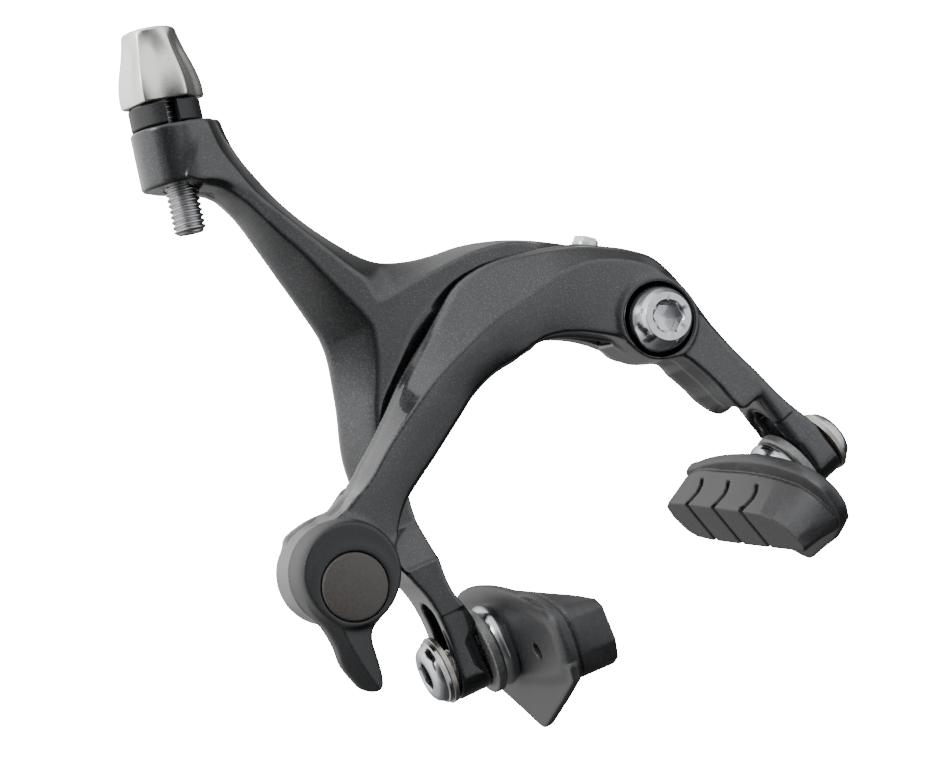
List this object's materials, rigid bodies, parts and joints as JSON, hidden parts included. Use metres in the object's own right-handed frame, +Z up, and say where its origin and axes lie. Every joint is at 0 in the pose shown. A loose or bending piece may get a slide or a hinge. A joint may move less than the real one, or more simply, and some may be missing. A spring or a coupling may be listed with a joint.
{
  "type": "rim brake caliper",
  "caption": "Dual-pivot side-pull bicycle rim brake caliper with cable adjuster, quick-release lever, sprung arms and two brake shoes on slotted feet.",
  "frame": {"origin": "axis of the centre bolt at the rear mounting face, where the serrated washer meets the fork crown or brake bridge", "axes": "+Z up along the bicycle, +Y out of the rear face along the centre bolt, -Y towards the front of the caliper, +X right seen from the front"},
  "size_m": [0.1122, 0.0805, 0.1498],
  "materials": {
    "arm_paint": "semi-gloss",
    "zinc_steel": "satin",
    "polished_steel": "polished",
    "cap_aluminium": "satin",
    "black_plastic": "matte",
    "lever_plastic": "matte",
    "cap_disc": "satin",
    "washer_steel": "satin",
    "clear_nylon": "gloss",
    "bush_bronze": "satin",
    "shoe_rubber": "matte",
    "spring_steel": "satin"
  },
  "bodies": {
    "root": {"centre_bolt": "zinc_steel", "serrated_washer": "zinc_steel", "pivot_bracket": "zinc_steel", "side_pivot_pin": "polished_steel", "side_pivot_bolt": "polished_steel", "side_pivot_washers": "zinc_steel", "centre_lock_nut": "zinc_steel", "spring_holder": "black_plastic", "return_spring": "spring_steel"},
    "y_arm": {"y_arm": "arm_paint", "centre_bush": "bush_bronze", "left_spring_slider": "clear_nylon", "adjuster_collar": "black_plastic"},
    "centring_screw": {"centring_screw": "clear_nylon"},
    "adjuster_cap": {"adjuster_cap": "cap_aluminium"},
    "adjuster_bolt": {"adjuster_bolt": "zinc_steel"},
    "c_arm": {"c_arm": "arm_paint", "side_pivot_bush": "bush_bronze", "right_spring_slider": "clear_nylon"},
    "quick_release": {"quick_release_lever": "lever_plastic", "quick_release_cap": "cap_disc", "quick_release_cam": "zinc_steel"},
    "cable_anchor": {"anchor_block": "zinc_steel", "anchor_plate": "zinc_steel", "anchor_bolt": "zinc_steel"},
    "left_clamp": {"left_flat_washer": "washer_steel", "left_dished_washer": "zinc_steel", "left_cap_nut": "polished_steel"},
    "left_shoe": {"left_convex_washer": "polished_steel", "left_shoe_stud": "zinc_steel", "left_shoe_rubber": "shoe_rubber"},
    "right_clamp": {"right_flat_washer": "washer_steel", "right_dished_washer": "zinc_steel", "right_cap_nut": "polished_steel"},
    "right_shoe": {"right_convex_washer": "polished_steel", "right_shoe_stud": "zinc_steel", "right_shoe_rubber": "shoe_rubber"}
  },
  "joints": [
    {"name": "y_arm_pivot", "type": "hinge", "parent": "root", "child": "y_arm", "pos_m": [0, 0, 0], "axis": [0, -1, 0], "range_deg": [0, 11], "stiffness_Nm_per_rad": 1.5, "springref_deg": -8.59, "deforming": ["return_spring"]},
    {"name": "c_arm_pivot", "type": "hinge", "parent": "root", "child": "c_arm", "pos_m": [0.02375, 0, -0.0135], "axis": [0, -1, 0], "range_deg": [-14.7, 0]},
    {"name": "quick_release_turn", "type": "hinge", "parent": "c_arm", "child": "quick_release", "pos_m": [-0.05335, 0, -0.02281], "axis": [0, 1, 0], "range_deg": [0, 95]},
    {"name": "cable_anchor_slide", "type": "slide", "parent": "c_arm", "child": "cable_anchor", "axis": [-0.1601, 0, 0.9871], "range_m": [0, 0.003]},
    {"name": "adjuster_cap_turn", "type": "hinge", "parent": "y_arm", "child": "adjuster_cap", "pos_m": [-0.03805, -0.009, 0.06051], "axis": [0.3034, 0, 0.9529], "range_deg": [-720, 720]},
    {"name": "adjuster_bolt_slide", "type": "slide", "parent": "y_arm", "child": "adjuster_bolt", "axis": [0.3034, 0, 0.9529], "range_m": [-0.002, 0.002]},
    {"name": "centring_screw_turn", "type": "hinge", "parent": "y_arm", "child": "centring_screw", "pos_m": [0.0211, -0.0103, 0.0043], "axis": [0.6582, 0, 0.7529], "range_deg": [-180, 180]},
    {"name": "left_shoe_height", "type": "slide", "parent": "y_arm", "child": "left_clamp", "axis": [0.1246, 0, 0.9922], "range_m": [0, 0.009]},
    {"name": "left_shoe_tilt", "type": "hinge", "parent": "left_clamp", "child": "left_shoe", "pos_m": [-0.04241, -0.0127, -0.04879], "axis": [0.9922, 0, -0.1246], "range_deg": [-8, 8]},
    {"name": "right_shoe_height", "type": "slide", "parent": "c_arm", "child": "right_clamp", "axis": [-0.1601, 0, 0.9871], "range_m": [0, 0.009]},
    {"name": "right_shoe_tilt", "type": "hinge", "parent": "right_clamp", "child": "right_shoe", "pos_m": [0.04228, -0.0127, -0.05122], "axis": [0.9871, 0, 0.1601], "range_deg": [-8, 8]}
  ],
  "couplings": [
    {"joint": "c_arm_pivot", "follows": "y_arm_pivot", "ratio": -1.3358},
    {"joint": "quick_release_turn", "follows": "cable_anchor_slide", "rad_per_m": 552.6},
    {"joint": "adjuster_cap_turn", "follows": "adjuster_bolt_slide", "rad_per_m": 6283.2}
  ]
}
